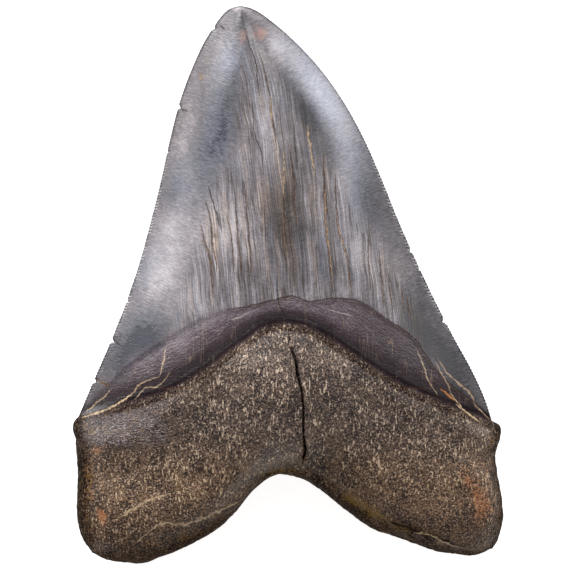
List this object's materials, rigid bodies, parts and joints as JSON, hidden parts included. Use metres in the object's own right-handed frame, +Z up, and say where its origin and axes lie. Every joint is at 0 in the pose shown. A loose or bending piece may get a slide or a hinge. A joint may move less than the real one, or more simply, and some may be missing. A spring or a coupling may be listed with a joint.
{
  "type": "megalodon tooth",
  "caption": "Large triangular fossil shark tooth with serrated cutting edges, a domed enamel crown and a thick forked root, lying on its flatter face.",
  "frame": {"origin": "on the table the tooth lies on, under the middle of its box", "axes": "+Y towards the tip, -Y towards the root's two lobes, +Z up through the domed inner face, +X to the right seen from above"},
  "size_m": [0.1075, 0.1396, 0.027],
  "materials": {
    "fossil_tooth": "half glossy, slate grey enamel over a duller grey-brown root"
  },
  "bodies": {
    "root": {"tooth": "fossil_tooth"}
  },
  "joints": []
}
